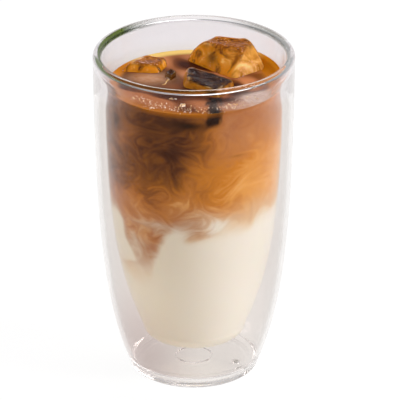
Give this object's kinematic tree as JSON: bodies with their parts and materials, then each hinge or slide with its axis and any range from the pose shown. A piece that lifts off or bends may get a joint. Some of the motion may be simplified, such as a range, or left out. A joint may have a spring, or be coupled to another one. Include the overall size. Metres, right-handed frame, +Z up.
{
  "type": "iced coffee in a double-walled glass",
  "caption": "Layered iced coffee: milk, caramel blend and dark coffee with lumps of ice, in a tall double-walled glass that stands on its foot ring.",
  "frame": {"origin": "centre of the foot, on the surface that the glass stands on", "axes": "+Z up along the glass's axis; -Y to the front, where the brown tongue dips into the milk; +X to the right"},
  "size_m": [0.088, 0.088, 0.15],
  "materials": {
    "glass": "clear, polished",
    "plug": "matt",
    "milk": "smooth liquid",
    "latte": "smooth liquid",
    "coffee": "wet gloss",
    "ice": "wet, clear"
  },
  "bodies": {
    "root": {"glass": "glass", "vent_plug": "plug", "milk": "milk", "latte": "latte", "coffee": "coffee", "ice_back": "ice", "ice_left": "ice", "ice_front": "ice", "ice_corner": "ice"}
  },
  "joints": []
}
